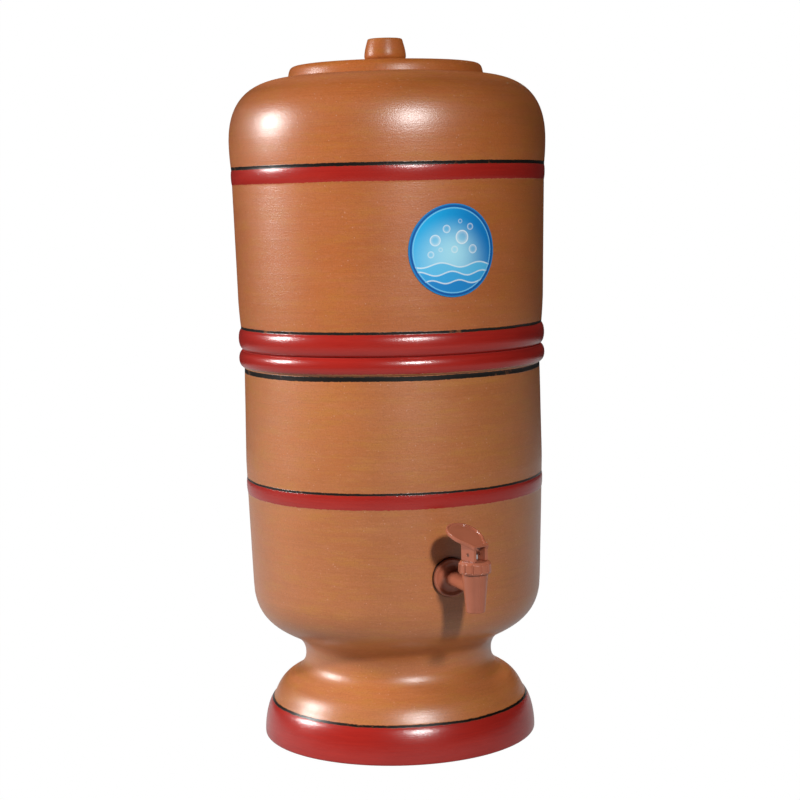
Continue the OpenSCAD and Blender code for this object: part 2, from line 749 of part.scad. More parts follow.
// Wound spring between the seat cup and the underside of the collar.
module tap_spring() {
    sides = 8;
    per_turn = 16;
    low = lip_z + lip_h + spring_wire_r + run_gap;
    high = neck_top - spring_wire_r - run_gap;
    count = spring_turns * per_turn;
    points = [for (i = [0 : count]) for (j = [0 : sides - 1])
        let (a = i * 360 / per_turn, b = j * 360 / sides, r = spring_r + spring_wire_r * cos(b))
        [r * cos(a), r * sin(a), low + (high - low) * i / count + spring_wire_r * sin(b)]];
    ends = [[for (j = [0 : sides - 1]) j], [for (j = [0 : sides - 1]) (count + 1) * sides - 1 - j]];
    walls = [for (i = [0 : count - 1]) for (j = [0 : sides - 1])
        let (k = (j + 1) % sides)
        [i * sides + j, (i + 1) * sides + j, (i + 1) * sides + k, i * sides + k]];
    color(metal) on_tap_axis() polyhedron(points, concat(ends, walls), convexity = 6);
}

module tap_stem() {
    color(metal) difference() {
        on_tap_axis() {
            translate([0, 0, stem_foot_z + run_gap / 2])
                cylinder(r = stem_foot_r, h = stem_foot_t);
            translate([0, 0, stem_foot_z + run_gap / 2])
                cylinder(r = stem_r, h = pin_z - stem_foot_z);
            translate([0, 0, pin_z]) sphere(r = stem_r);
        }
        on_lever_pin() rotate([0, 90, 0])
            cylinder(r = pin_r + run_gap / 2, h = fork_w, center = true);
    }
}

module tap_lever_pin() {
    color(metal) on_lever_pin() rotate([0, 90, 0])
        cylinder(r = pin_r, h = fork_w - 0.6, center = true);
}

// Half outline of the paddle from the fork to its round end, drawn in by inset.
function paddle_half(inset) =
    let (start = fork_w / 2 + paddle_shelf - inset, wide = paddle_half_w - inset, tip = paddle_l - inset,
         full = paddle_l * 0.58)
    concat([[start, inset * 2.2]],
           bezier([start, inset * 2.2], [start + 0.6, full * 0.4], [wide, full * 0.55], [wide, full], 8),
           bezier([wide, full], [wide, full + (tip - full) * 0.62],
                  [wide * 0.62, tip], [0, tip], 10));

module paddle_shape(inset) {
    half = paddle_half(inset);
    polygon(concat(half, [for (i = [len(half) - 2 : -1 : 0]) [-half[i][0], half[i][1]]]));
}

// Height inside the paddle's plate to which the fork reaches, at a distance behind the pin.
function fork_top(back) = fork_h - pin_rise + (back + fork_half_d) * tan(paddle_slope)
    - fork_buried / cos(paddle_slope);

// Side of the fork seen along the pin. The foot's curve keeps the fork in touch with the
// collar while the valve rises at a steady rate.
function fork_side() = concat(
    [[-fork_half_d, -foot_drop + 0.4], [-fork_half_d + 0.4, -foot_drop]],
    [for (i = [0 : 8]) let (a = i * (lever_max + 2) / 8, reach = foot_drop + cam_rate * a * PI / 180)
        [reach * sin(a) + cam_rate * cos(a), -reach * cos(a) + cam_rate * sin(a)]],
    [[fork_half_d + 0.5, fork_top(fork_half_d + 0.5)], [-fork_half_d, fork_top(-fork_half_d)]]);

module tap_lever() {
    color(brown_plastic) on_lever_pin() difference() {
        union() {
            rotate([90, 0, 90]) translate([0, 0, -fork_w / 2])
                linear_extrude(fork_w) polygon(fork_side());
            translate([0, -fork_half_d - paddle_lip, fork_h - pin_rise - paddle_lip * tan(paddle_slope)])
                rotate([paddle_slope, 0, 0])
                difference() {
                    translate([0, 0, -paddle_t]) linear_extrude(paddle_t) paddle_shape(0);
                    translate([0, 0, -paddle_dish])
                        linear_extrude(paddle_dish + cut) paddle_shape(paddle_rim);
                }
        }
        // the slot for the stem, open to the front and the back
        translate([-fork_slot_w / 2, -fork_half_d - cut, -pin_rise - 1])
            cube([fork_slot_w, 2 * fork_half_d + 4, pin_rise + 1 + slot_roof]);
        rotate([0, 90, 0]) cylinder(r = pin_r + run_gap, h = fork_w + 2 * cut, center = true);
    }
}

lower_foot();
lower_bowl();
lower_wall();
upper_floor();
upper_wall();
upper_shoulder();
lid();
sticker();
candle_dome();
candle_carbon();
candle_base();
candle_gasket();
candle_washer();
candle_wing_nut();
float_cage();
float_shell();
float_seal();
tap_body();
tap_outer_washer();
tap_inner_washer();
tap_lock_nut();
tap_collar();
tap_seat_cup();
tap_spring();
tap_stem();
tap_lever_pin();
tap_lever();
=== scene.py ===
"""Clay water filter pot with a lever tap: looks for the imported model, in metres."""
import math

import bmesh
import bpy
from mathutils import Matrix, Vector, noise


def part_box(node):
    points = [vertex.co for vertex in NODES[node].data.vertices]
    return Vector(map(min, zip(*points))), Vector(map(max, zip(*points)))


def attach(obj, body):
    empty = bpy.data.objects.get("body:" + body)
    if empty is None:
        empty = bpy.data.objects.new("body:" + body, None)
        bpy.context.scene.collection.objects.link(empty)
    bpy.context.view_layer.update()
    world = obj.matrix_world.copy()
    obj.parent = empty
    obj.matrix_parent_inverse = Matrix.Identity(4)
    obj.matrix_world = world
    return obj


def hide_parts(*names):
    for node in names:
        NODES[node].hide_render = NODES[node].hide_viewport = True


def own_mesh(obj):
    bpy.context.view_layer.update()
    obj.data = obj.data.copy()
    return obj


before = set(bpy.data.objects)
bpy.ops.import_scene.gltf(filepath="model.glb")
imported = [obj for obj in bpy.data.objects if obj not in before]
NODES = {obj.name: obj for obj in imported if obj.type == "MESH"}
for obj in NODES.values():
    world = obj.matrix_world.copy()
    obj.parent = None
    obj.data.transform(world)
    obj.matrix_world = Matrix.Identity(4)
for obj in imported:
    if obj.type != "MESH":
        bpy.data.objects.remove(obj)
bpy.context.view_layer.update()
LOWER = [name for name in NODES if name.startswith("lower_")]
UPPER = [name for name in NODES if name.startswith("upper_")]
MM = 0.001


def new_object(name, data):
    obj = bpy.data.objects.new(name, data)
    bpy.context.scene.collection.objects.link(obj)
    return obj


def mesh_from_faces(name, verts, faces):
    mesh = bpy.data.meshes.new(name)
    mesh.from_pydata(verts, [], faces)
    return mesh


def mesh_from_bmesh(name, bm):
    """The mesh that a bmesh holds; the bmesh is freed."""
    mesh = bpy.data.meshes.new(name)
    bm.to_mesh(mesh)
    bm.free()
    return mesh


# ---- camera -------------------------------------------------------------------------------------

CAMERA_DISTANCE = 1.4079             # from the pot's axis
CAMERA_HEIGHT = 0.4121
CAMERA_TURN = math.radians(-20.34)   # around the pot, from the way that the tap points
CAMERA_PITCH = math.radians(6.28)    # downwards
CAMERA_YAW = math.radians(0.2226)    # to the right of the pot's axis
CAMERA_ROLL = math.radians(1.27)     # clockwise
CAMERA_LENS = 82.68                  # mm, for a sensor of SENSOR_WIDTH
SENSOR_WIDTH = 36
CLIP_END = 30


def make_camera():
    turn = Matrix.Rotation(CAMERA_TURN, 3, "Z")
    ahead = turn @ Vector((math.sin(CAMERA_YAW) * math.cos(CAMERA_PITCH),
                           math.cos(CAMERA_YAW) * math.cos(CAMERA_PITCH),
                           -math.sin(CAMERA_PITCH)))
    right = turn @ Vector((math.cos(CAMERA_YAW), -math.sin(CAMERA_YAW), 0))
    up = right.cross(ahead)
    x = right * math.cos(CAMERA_ROLL) - up * math.sin(CAMERA_ROLL)
    y = right * math.sin(CAMERA_ROLL) + up * math.cos(CAMERA_ROLL)
    place = Matrix((x, y, -ahead)).transposed().to_4x4()
    place.translation = turn @ Vector((0, -CAMERA_DISTANCE, 0)) + Vector((0, 0, CAMERA_HEIGHT))
    data = bpy.data.cameras.new("camera")
    data.lens = CAMERA_LENS
    data.sensor_width = SENSOR_WIDTH
    data.clip_end = CLIP_END
    camera = new_object("camera", data)
    camera.matrix_world = place
    bpy.context.scene.camera = camera


make_camera()

# ---- material helpers ---------------------------------------------------------------------------


class Shader:
    """One material, with short calls for the nodes it needs."""

    def __init__(self, name):
        self.material = bpy.data.materials.new(name)
        self.material.use_nodes = True
        self.tree = self.material.node_tree
        self.surface = self.tree.nodes["Principled BSDF"]
        self.place = self.add("ShaderNodeTexCoord").outputs["Object"]

    def add(self, kind, **settings):
        node = self.tree.nodes.new(kind)
        for key, value in settings.items():
            setattr(node, key, value)
        return node

    def feed(self, socket, value):
        """Links a socket, or sets its number or colour."""
        if isinstance(value, bpy.types.NodeSocket):
            self.tree.links.new(value, socket)
        elif isinstance(value, tuple) and len(value) == 3 and socket.type == "RGBA":
            socket.default_value = (*value, 1)
        else:
            socket.default_value = value

    def set(self, **sockets):
        """Feeds the surface's own sockets; _ stands for each space in their names."""
        for key, value in sockets.items():
            self.feed(self.surface.inputs[key.replace("_", " ")], value)

    def math(self, operation, a, b=0.0, c=0.0):
        node = self.add("ShaderNodeMath", operation=operation)
        for socket, value in zip(node.inputs, (a, b, c)):
            self.feed(socket, value)
        return node.outputs[0]

    def plus(self, a, b):
        return self.math("ADD", a, b)

    def minus(self, a, b):
        return self.math("SUBTRACT", a, b)

    def times(self, a, b):
        return self.math("MULTIPLY", a, b)

    def times_plus(self, a, b, c):
        return self.math("MULTIPLY_ADD", a, b, c)

    def larger(self, a, b):
        return self.math("MAXIMUM", a, b)

    def length(self, a, b):
        """The length of the flat vector (a, b)."""
        return self.math("SQRT", self.plus(self.times(a, a), self.times(b, b)))

    def mix(self, factor, a, b):
        """From a to b, which are both numbers or both colours."""
        number = any(isinstance(v, (int, float)) or getattr(v, "type", "") == "VALUE" for v in (a, b))
        node = self.add("ShaderNodeMix", data_type="FLOAT" if number else "RGBA")
        self.feed(node.inputs["Factor"], factor)
        self.feed(node.inputs["A"], a)
        self.feed(node.inputs["B"], b)
        return node.outputs["Result"]

    def span(self, value, low, high, to_low=0.0, to_high=1.0, smooth=False):
        """What was low to high becomes to_low to to_high, and stays at these ends beyond them."""
        node = self.add("ShaderNodeMapRange")
        node.interpolation_type = "SMOOTHSTEP" if smooth else "LINEAR"
        for key, number in (("Value", value), ("From Min", low), ("From Max", high),
                            ("To Min", to_low), ("To Max", to_high)):
            self.feed(node.inputs[key], number)
        return node.outputs["Result"]

    def between(self, value, low, high, soft):
        """1 between two values and 0 outside, with soft edges."""
        rise = self.span(value, low - soft, low + soft, smooth=True)
        fall = self.span(value, high - soft, high + soft, 1.0, 0.0, smooth=True)
        return self.times(rise, fall)

    def stretched(self, x, y, z):
        """Object coordinates, each with its own scale."""
        node = self.add("ShaderNodeMapping")
        self.feed(node.inputs["Vector"], self.place)
        node.inputs["Scale"].default_value = (x, y, z)
        return node.outputs["Vector"]

    def noise(self, scale, detail=3.0, rough=0.55, distortion=0.0):
        """Noise with one scale, or with one for each axis."""
        by_axis = isinstance(scale, tuple)
        node = self.add("ShaderNodeTexNoise")
        self.feed(node.inputs["Vector"], self.stretched(*scale) if by_axis else self.place)
        node.inputs["Scale"].default_value = 1 if by_axis else scale
        node.inputs["Detail"].default_value = detail
        node.inputs["Roughness"].default_value = rough
        node.inputs["Distortion"].default_value = distortion
        return node.outputs["Fac"]

    def cells(self, scale, at=None):
        """The distance to the middle of the nearest of many small cells."""
        node = self.add("ShaderNodeTexVoronoi")
        self.feed(node.inputs["Vector"], at or self.place)
        node.inputs["Scale"].default_value = scale
        return node.outputs["Distance"]

    def xyz(self, vector):
        node = self.add("ShaderNodeSeparateXYZ")
        self.feed(node.inputs[0], vector)
        return node.outputs

    def bump(self, height, distance, strength=1.0):
        node = self.add("ShaderNodeBump")
        self.feed(node.inputs["Height"], height)
        node.inputs["Distance"].default_value = distance
        node.inputs["Strength"].default_value = strength
        return node.outputs["Normal"]


# ---- clay ---------------------------------------------------------------------------------------

BLACK = (0.0, 0.0, 0.0)
WHITE = (1.0, 1.0, 1.0)
CHALK = 0.6

UPPER_CLAY = (0.460, 0.124, 0.026)
# The lower clay is a little paler than the upper: partly the clay's own tone, partly painted sheen of
# reflected light.
LOWER_CLAY = (0.462, 0.142, 0.036)
PAINTED_SHADE_FROM, PAINTED_SHADE_TO, PAINTED_SHADE_DEPTH = 440 * MM, 475 * MM, 0.16    # painted shade: the clay is darker from the shoulder up and on the lid
CLAY_RELIEF = 0.07 * MM
WAX_ROUGH = 0.31
DUSTY_FROM, DUSTY_TO = 0.75, 0.95    # how squarely a face looks up, from 0 to 1
DUSTY_ROUGH = 0.9

PAINT_RED = (0.37, 0.017, 0.011)
PAINT_RED_STREAKS = (0.26, 0.009, 0.007)
PAINT_RED_PATCHES = (0.43, 0.028, 0.018)
PAINT_BLACK = (0.006, 0.004, 0.003)
RED_EDGE, BLACK_EDGE = 0.14 * MM, 0.16 * MM    # how soft the edge of a brush stroke is
PAINT_SWAY = 0.35 * MM                         # how far the stroke goes up and down
PAINT_RAGGED = 0.30 * MM                       # how far its edge frays

# Bands of paint, each from a lowest to a highest height. The lower vessel has them on its foot,
# over the tap and at the joint, and the upper one at the joint and under its shoulder.
LOWER_REDS = ((-0.01, 0.0268), (0.1903, 0.2007), (0.2880, 0.3010))
LOWER_BLACKS = ((0.0268, 0.0284), (0.2007, 0.2024), (0.2826, 0.2861))
UPPER_REDS = ((0.2990, 0.3160), (0.4242, 0.4350))
UPPER_BLACKS = ((0.3160, 0.3180), (0.4350, 0.4375))
# Paint is only on what is further from the axis than this.
LOWER_OUTSIDE = 0.0970
UPPER_OUTSIDE = 0.1120
OUTSIDE_SOFT = 0.5 * MM


def tinted(colour, gain, chalky=0.0):
    """A colour times gain, with a share of chalk in it."""
    return tuple(c * gain + chalky * (CHALK - c) for c in colour)


def specks(s, cells, near, far, patch_scale, patch_low, patch_high):
    """Spots round the middles of cells, in patches."""
    spots = s.span(cells, near, far, 1.0, 0.0, smooth=True)
    return s.times(spots, s.span(s.noise(patch_scale, detail=1), patch_low, patch_high, smooth=True))


def bare_clay(s, clay, grain):
    """The look of clay with no paint on it: its colour, its roughness and the height of its relief."""
    broad = s.noise(7, detail=4, rough=0.6)
    cloud = s.noise((22, 22, 60), detail=5, rough=0.6)
    ochre = s.noise((30, 30, 170), detail=5, rough=0.7)
    streaks = s.noise((55, 55, 620), detail=5, rough=0.7)
    lathe_lines = s.noise((14, 14, 1100), detail=4, rough=0.65)
    dashes = s.noise((260, 260, 1500), detail=3, rough=0.6)
    pale_specks = specks(s, s.cells(260), 0.06, 0.17, 90, 0.50, 0.58)
    dark_specks = specks(s, s.cells(210, s.stretched(1, 1, 1.7)), 0.03, 0.10, 70, 0.54, 0.64)

    colour = s.mix(s.span(broad, 0.32, 0.68, smooth=True), tinted(clay, 0.90), tinted(clay, 1.06))
    # Each layer: its noise, the span in which it comes in, its share at the most, and its colour.
    for layer, low, high, share, tone in (
            (cloud, 0.45, 0.75, 0.50, tinted(clay, 1.00, 0.05)),
            (ochre, 0.46, 0.66, 0.60, (clay[0] * 0.98, clay[1] * 1.28, clay[2] * 0.8)),
            (streaks, 0.50, 0.78, 0.55, tinted(clay, 1.08, 0.05)),
            (lathe_lines, 0.48, 0.75, 0.40, tinted(clay, 0.70)),
            (dashes, 0.55, 0.75, 0.60, tinted(clay, 1.18, 0.08)),
            (grain, 0.48, 0.70, 0.60, tinted(clay, 0.70))):
        colour = s.mix(s.span(layer, low, high, 0.0, share), colour, tone)
    colour = s.mix(s.times(pale_specks, 0.75), colour, tinted(clay, 1.20, 0.22))
    colour = s.mix(s.times(dark_specks, 0.60), colour, tinted(clay, 0.30))
    # Painted shade: the clay's colour darkens from the shoulder upwards, and all over the lid.
    up = s.xyz(s.place)["Z"]
    colour = s.mix(s.span(up, PAINTED_SHADE_FROM, PAINTED_SHADE_TO, 0.0, PAINTED_SHADE_DEPTH, smooth=True), colour, BLACK)

    rough = s.span(s.plus(s.times(grain, 0.5), s.times(streaks, 0.5)), 0.3, 0.7, 0.40, 0.52)
    height = s.plus(s.plus(s.times(dashes, 0.9), s.times(lathe_lines, 0.8)), s.times(grain, 1.6))
    return colour, rough, height


def bands(s, level, heights, soft):
    """1 where a level is inside one of some (low, high) pairs of heights."""
    cover = 0.0
    for low, high in heights:
        cover = s.larger(cover, s.between(level, low, high, soft))
    return cover


def paint_over(s, look, grain, reds, blacks, outside_from):
    """The look with red and black bands painted over it by hand, and where there is paint."""
    colour, rough, height = look
    x, y, z = s.xyz(s.place)
    outside = s.span(s.length(x, y), outside_from - OUTSIDE_SOFT, outside_from + OUTSIDE_SOFT)
    level = s.plus(z, s.span(s.noise(14, detail=2), 0.3, 0.7, -PAINT_SWAY, PAINT_SWAY))
    ragged = s.span(s.noise(420, detail=3, rough=0.6), 0.3, 0.7, -PAINT_RAGGED, PAINT_RAGGED)
    brush = s.noise((30, 30, 900), detail=4, rough=0.65)
    pool = s.noise((16, 16, 120), detail=3, rough=0.6)
    thin = s.span(s.noise(75, detail=4, rough=0.75), 0.30, 0.40, 0.55, 1.0)

    red = s.times(bands(s, s.plus(level, ragged), reds, RED_EDGE), outside)
    paint = s.mix(s.span(brush, 0.35, 0.75, 0.0, 0.55), PAINT_RED, PAINT_RED_STREAKS)
    paint = s.mix(s.span(pool, 0.50, 0.80, 0.0, 0.5), paint, PAINT_RED_PATCHES)
    colour = s.mix(red, colour, paint)
    rough = s.mix(red, rough, s.span(brush, 0.3, 0.7, 0.15, 0.24))

    black = s.times(bands(s, s.times_plus(ragged, 0.7, level), blacks, BLACK_EDGE), outside)
    black = s.times(black, thin)
    colour = s.mix(black, colour, PAINT_BLACK)
    rough = s.mix(s.times(black, 0.9), rough, 0.28)

    painted = s.larger(red, black)
    height = s.mix(painted, height, s.times_plus(brush, 0.5, s.times_plus(grain, 1.5, 1.4)))
    return (colour, rough, height), painted


def clay_material(name, clay, reds=(), blacks=(), outside_from=0.0, wax=1.0, gloss=0.4):
    """Waxed terracotta, dusty and dull on the faces that look straight up.

    reds and blacks are the heights of bands painted on what is further out than outside_from.
    """
    s = Shader(name)
    grain = s.noise(900, detail=3, rough=0.7)
    look = bare_clay(s, clay, grain)
    painted = 0.0
    if reds or blacks:
        look, painted = paint_over(s, look, grain, reds, blacks, outside_from)
    colour, rough, height = look
    up = s.xyz(s.add("ShaderNodeNewGeometry").outputs["Normal"])["Z"]
    dust = s.span(up, DUSTY_FROM, DUSTY_TO, smooth=True)
    shine = s.times(s.times_plus(dust, -wax, wax), s.times_plus(painted, -0.5, 1.0))
    relief = s.bump(height, CLAY_RELIEF)
    s.set(Base_Color=colour, Roughness=s.mix(dust, rough, DUSTY_ROUGH), Specular_IOR_Level=gloss,
          Coat_Weight=shine, Coat_Roughness=WAX_ROUGH, Normal=relief, Coat_Normal=relief)
    return s.material


lower_clay = clay_material("lower_clay", LOWER_CLAY, LOWER_REDS, LOWER_BLACKS, LOWER_OUTSIDE)
upper_clay = clay_material("upper_clay", UPPER_CLAY, UPPER_REDS, UPPER_BLACKS, UPPER_OUTSIDE)
plain_clay = clay_material("plain_clay", UPPER_CLAY, wax=0.4, gloss=0.15)

# ---- other materials ----------------------------------------------------------------------------


def plastic_material(name, colour, dark, rough):
    """Moulded plastic with slight flow marks and a little wear."""
    s = Shader(name)
    flow = s.noise(45, detail=3, rough=0.5, distortion=0.6)
    scuffs = s.noise((300, 900, 500), detail=4, rough=0.7)
    s.set(Base_Color=s.mix(s.span(flow, 0.3, 0.7, smooth=True), dark, colour),
          Roughness=s.span(scuffs, 0.35, 0.75, rough - 0.05, rough + 0.08),
          Specular_IOR_Level=0.5, Normal=s.bump(flow, 0.03 * MM, 0.4))
    return s.material


def rubber_material(name, colour):
    """Matt rubber with a little dust."""
    s = Shader(name)
    dust = s.noise(700, detail=3, rough=0.7)
    dusty = tuple(c * 2 + 0.02 for c in colour)
    s.set(Base_Color=s.mix(s.span(dust, 0.4, 0.8, 0.0, 0.4), colour, dusty),
          Roughness=s.span(dust, 0.3, 0.7, 0.62, 0.82), Normal=s.bump(dust, 0.03 * MM, 0.6))
    return s.material


def metal_material(name, colour, rough):
    """Metal with fine level lines."""
    s = Shader(name)
    lines = s.noise((500, 500, 6000), detail=3, rough=0.6)
    s.set(Base_Color=colour, Metallic=1.0, Roughness=s.span(lines, 0.3, 0.7, rough * 0.7, rough * 1.4),
          Normal=s.bump(lines, 0.01 * MM, 0.5))
    return s.material


def ceramic_material(name):
    """White ceramic with open pores."""
    s = Shader(name)
    mottle = s.span(s.noise(60, detail=4), 0.3, 0.7)
    s.set(Base_Color=s.mix(mottle, (0.78, 0.75, 0.68), (0.86, 0.84, 0.79)), Roughness=0.85,
          Normal=s.bump(s.cells(2600), 0.05 * MM, 0.5))
    return s.material


def carbon_material(name):
    """Black grains."""
    s = Shader(name)
    grains = s.cells(900)
    s.set(Base_Color=s.mix(grains, (0.006, 0.006, 0.006), (0.05, 0.05, 0.05)), Roughness=0.6,
          Normal=s.bump(grains, 0.3 * MM))
    return s.material


# ---- printed film -------------------------------------------------------------------------------

FILM_TURN = math.radians(2.3)    # around the pot to the right, from the way that the tap points
FILM_OUT = 0.117                 # from the pot's axis
FILM_X = FILM_OUT * math.sin(FILM_TURN)
FILM_HEIGHT = 0.3744
FILM_RADIUS = 33 * MM

GLOW_BLUE = (0.40, 0.78, 0.93)
LEFT_BLUE = (0.014, 0.42, 0.80)
RIGHT_BLUE = (0.008, 0.20, 0.56)
RING_BLUE = (0.20, 0.58, 0.86)
RIM_BLUE = (0.010, 0.10, 0.36)
EDGE_BLUE = (0.020, 0.22, 0.54)
FOAM = (0.88, 0.96, 0.98)
BUBBLE = (0.93, 0.98, 1.0)

# From here on, 1 is the film's radius.
SOFT = 0.012
# A wave: its height, how far it rises and falls, how close its ripples are, and its blue.
WAVES = ((-0.30, 0.050, 7.0, (0.10, 0.52, 0.84)),
         (-0.48, 0.045, 8.5, (0.035, 0.36, 0.74)),
         (-0.66, 0.035, 10.0, (0.015, 0.22, 0.58)))
WAVE_SHIFT = 9    # lower waves are shifted sideways by this, times their height
# A bubble: how far its middle is to the right and up, and its radius.
BUBBLES = ((-0.42, 0.22, 0.12), (-0.16, 0.46, 0.085), (0.20, 0.28, 0.15), (0.46, 0.02, 0.095),
           (0.02, 0.02, 0.075), (-0.52, -0.08, 0.07), (0.40, 0.50, 0.07), (0.16, 0.62, 0.045),
           (-0.30, 0.02, 0.045))


def draw_wave(s, colour, across, upward, height, swing, ripples, blue):
    wave = s.times(s.math("SINE", s.times_plus(across, ripples, height * WAVE_SHIFT)), swing)
    depth = s.minus(s.plus(wave, height), upward)
    colour = s.mix(s.times(s.span(depth, -SOFT, SOFT, smooth=True), 0.85), colour, blue)
    return s.mix(s.times(s.between(depth, -0.004, 0.022, SOFT), 0.75), colour, FOAM)


def draw_bubble(s, colour, across, upward, right, up, size):
    away = s.length(s.minus(across, right), s.minus(upward, up))
    rim = s.between(away, size * 0.84, size, SOFT)
    fill = s.span(away, size * 0.3, size, 0.0, 0.35, smooth=True)
    fill = s.times(fill, s.span(away, size - 0.01, size + 0.01, 1.0, 0.0))
    return s.mix(s.larger(s.times(rim, 0.8), fill), colour, BUBBLE)


def film_material(name):
    """Glossy printed film: plain waves and bubbles in blues, inside a thin ring and a dark rim."""
    s = Shader(name)
    place = s.xyz(s.place)
    across = s.math("DIVIDE", s.minus(place["X"], FILM_X), FILM_RADIUS)
    upward = s.math("DIVIDE", s.minus(place["Z"], FILM_HEIGHT), FILM_RADIUS)
    radius = s.length(across, upward)
    lean = s.plus(s.times(upward, 0.32), s.times(across, 0.12))
    outer_blue = s.mix(s.span(across, -0.9, 0.9, smooth=True), LEFT_BLUE, RIGHT_BLUE)
    colour = s.mix(s.span(s.plus(radius, lean), 0.0, 1.05, smooth=True), GLOW_BLUE, outer_blue)
    for wave in WAVES:
        colour = draw_wave(s, colour, across, upward, *wave)
    for bubble in BUBBLES:
        colour = draw_bubble(s, colour, across, upward, *bubble)
    colour = s.mix(s.between(radius, 0.895, 0.915, 0.01), colour, RING_BLUE)
    colour = s.mix(s.span(radius, 0.915, 0.935, smooth=True), colour, RIM_BLUE)
    colour = s.mix(s.span(radius, 0.960, 0.975, smooth=True), colour, EDGE_BLUE)
    s.set(Base_Color=colour, Roughness=0.22, Specular_IOR_Level=0.55,
          Normal=s.bump(s.noise(90, detail=2), 0.05 * MM, 0.25))
    return s.material


# ---- what each node is made of ------------------------------------------------------------------

SMOOTH_UNDER = 35    # degrees; a sharper edge stays sharp

brown = plastic_material("brown_plastic", (0.41, 0.126, 0.070), (0.37, 0.112, 0.060), rough=0.20)
white = plastic_material("white_plastic", (0.82, 0.82, 0.80), (0.76, 0.76, 0.74), rough=0.4)
silicone = plastic_material("silicone", (0.80, 0.80, 0.77), (0.74, 0.74, 0.71), rough=0.5)
black_rubber = rubber_material("black_rubber", (0.02, 0.02, 0.02))
dark_rubber = rubber_material("dark_rubber", (0.075, 0.026, 0.018))
chrome = metal_material("chrome", (0.80, 0.80, 0.82), rough=0.10)
steel = metal_material("steel", (0.62, 0.62, 0.63), rough=0.28)
browned_steel = metal_material("browned_steel", (0.26, 0.12, 0.085), rough=0.45)

FINISHES = {
    "lid": plain_clay,
    "sticker": film_material("sticker_print"),
    "candle_dome": ceramic_material("candle_ceramic"), "candle_carbon": carbon_material("carbon"),
    "candle_base": white, "candle_wing_nut": white,
    "candle_gasket": black_rubber, "candle_washer": black_rubber,
    "float_cage": white, "float_shell": white, "float_seal": black_rubber,
    "tap_body": brown, "tap_collar": brown, "tap_lever": brown, "tap_lock_nut": brown,
    "tap_outer_washer": dark_rubber, "tap_inner_washer": black_rubber, "tap_seat_cup": silicone,
    "tap_spring": steel, "tap_stem": chrome, "tap_lever_pin": browned_steel,
}
FINISHES.update({name: lower_clay for name in LOWER})
FINISHES.update({name: upper_clay for name in UPPER})


def dress(obj, material, smooth_under=SMOOTH_UNDER):
    obj.data.materials.clear()
    obj.data.materials.append(material)
    obj.data.polygons.foreach_set("material_index", [0] * len(obj.data.polygons))
    obj.data.shade_smooth()
    obj.data.set_sharp_from_angle(angle=math.radians(smooth_under))


for node, finish in FINISHES.items():
    dress(NODES[node], finish)

# ---- turned clay --------------------------------------------------------------------------------

BACK_FROM = -2 * MM               # the y past which the tap's hole is out of the way
SAME_RING = 0.05 * MM             # vertices nearer than this are on one ring
ON_AXIS = 0.01 * MM               # a ring smaller than this is a point
SAME_POINT = 1e-7

SHARP_TURN = math.radians(28)     # sharper corners than this wear
WORN_EDGE = 0.9 * MM
WORN_SHARE = 0.45                 # what wear takes at the most of a side next to a corner
WORN_STEPS = (0.0, 0.25, 0.5, 0.75, 1.0)
RING_STEP = 1.6 * MM
SIDES = 288

UNEVEN = 0.22 * MM                # how far thrown clay is off a true round
LID_UNEVEN = 0.15 * MM
SMALL_DENTS = 0.16                # as a share of that
THROWING_LINES = 0.045 * MM       # how deep the lines are that fingers leave
MOST_DENT = 0.02                  # as a share of the radius


def outline_of(nodes):
    """The (radius, height) points of a turned piece, in order, read from its nodes' back halves.

    An edge that two nodes share is inside the clay, so it is left out.
    """
    known = {}
    owners = {}

    def outline_point(co):
        r, z = math.hypot(co.x, co.y), co.z
        cell = (round(r / SAME_RING), round(z / SAME_RING))
        for i in (0, -1, 1):
            for j in (0, -1, 1):
                if (cell[0] + i, cell[1] + j) in known:
                    return known[cell[0] + i, cell[1] + j]
        known[cell] = (r, z)
        return known[cell]

    for node in nodes:
        mesh = NODES[node].data
        ring = {v.index: outline_point(v.co) for v in mesh.vertices if v.co.y > BACK_FROM}
        for edge in mesh.edges:
            a, b = sorted(ring.get(i, ()) for i in edge.vertices)
            if a and a != b:
                owners.setdefault((a, b), set()).add(node)
    links = {}
    for (a, b), sharing in owners.items():
        if len(sharing) == 1:
            links.setdefault(a, []).append(b)
            links.setdefault(b, []).append(a)
    ends = sorted((p for p in links if p[0] < ON_AXIS or len(links[p]) == 1), key=lambda p: p[1])
    path = [ends[0] if ends else min(links)]
    while True:
        options = [p for p in links[path[-1]] if p not in path]
        if not options:
            break
        path.append(options[0])
    if not ends:
        path.append(path[0])
    return [Vector(p) for p in path]


def worn(points):
    """An outline with its sharp corners rounded, as wear does."""
    bend = [0.0] * len(points)
    for i in range(1, len(points) - 1):
        bend[i] = (points[i] - points[i - 1]).angle(points[i + 1] - points[i])
    out = []
    for i, p in enumerate(points):
        if bend[i] < SHARP_TURN:
            out.append(p)
            continue
        before, after = points[i - 1] - p, points[i + 1] - p
        reach = min(WORN_EDGE, before.length * WORN_SHARE, after.length * WORN_SHARE)
        a, b = p + before.normalized() * reach, p + after.normalized() * reach
        for t in WORN_STEPS:
            out.append(a * (1 - t) ** 2 + p * 2 * t * (1 - t) + b * t ** 2)
    return out


def refined(points):
    """An outline in steps of about RING_STEP, along a smooth curve through its points."""
    fine = []
    for i in range(len(points) - 1):
        a, b = points[i], points[i + 1]
        length = (b - a).length
        if length < SAME_POINT:
            continue
        lead = (b - points[i - 1]).normalized() * length if i else b - a
        tail = (points[i + 2] - a).normalized() * length if i + 2 < len(points) else b - a
        steps = max(1, round(length / RING_STEP))
        for k in range(steps):
            t = k / steps
            fine.append(a * (2 * t ** 3 - 3 * t ** 2 + 1) + lead * (t ** 3 - 2 * t ** 2 + t)
                        + b * (3 * t ** 2 - 2 * t ** 3) + tail * (t ** 3 - t ** 2))
    fine.append(points[-1])
    return fine


